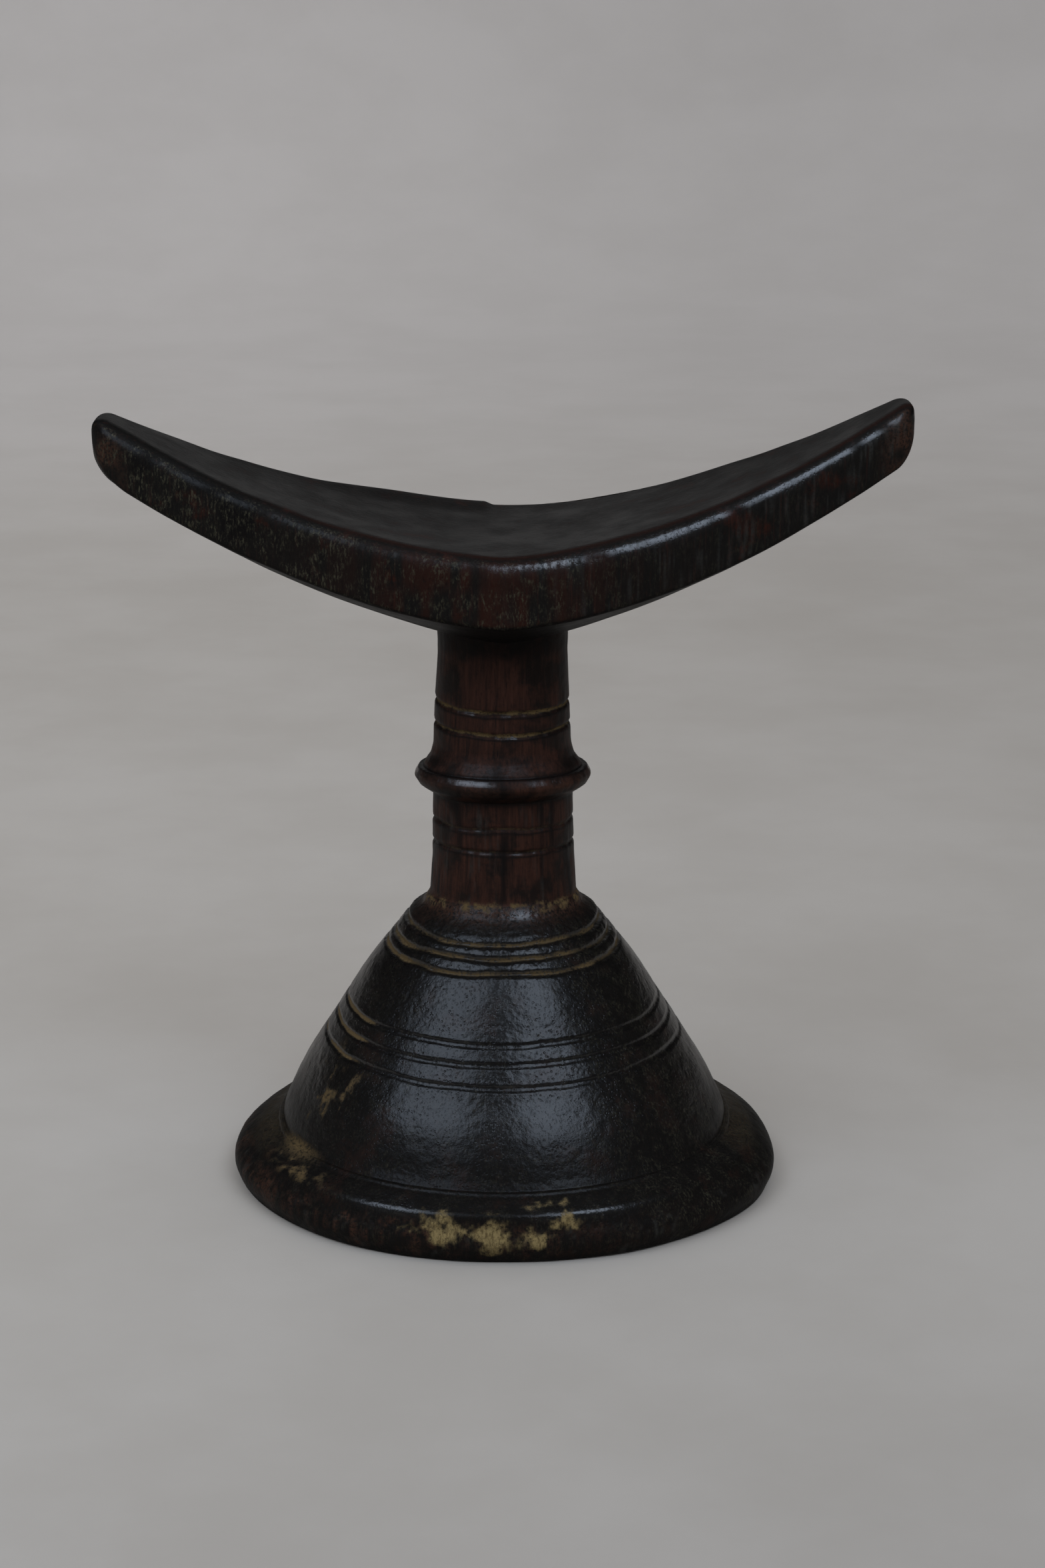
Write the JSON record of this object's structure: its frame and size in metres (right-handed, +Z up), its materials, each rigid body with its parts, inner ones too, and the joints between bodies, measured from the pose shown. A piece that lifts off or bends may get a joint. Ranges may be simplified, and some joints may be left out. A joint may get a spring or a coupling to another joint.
{
  "type": "headrest",
  "caption": "Carved wooden headrest with a crescent saddle, a ringed round column with a collar, and a wide conical foot with incised rings and a rounded rim.",
  "frame": {"origin": "on the standing plane, at the axis of the turned column and foot", "axes": "+Z up along the column's axis; X along the saddle from wing to wing; Y front to back"},
  "size_m": [0.1754, 0.1216, 0.1753],
  "materials": {
    "saddle_wood": "satin dark brown patina, rubbed by use",
    "column_wood": "satin reddish brown patina with upright grain",
    "foot_wood": "glossy near-black smoked and oiled patina"
  },
  "bodies": {
    "root": {"head_rest": "saddle_wood", "upper_column": "column_wood", "collar": "column_wood", "lower_column": "column_wood", "foot_shoulder": "foot_wood", "foot_cone": "foot_wood", "foot_rim": "foot_wood"}
  },
  "joints": []
}
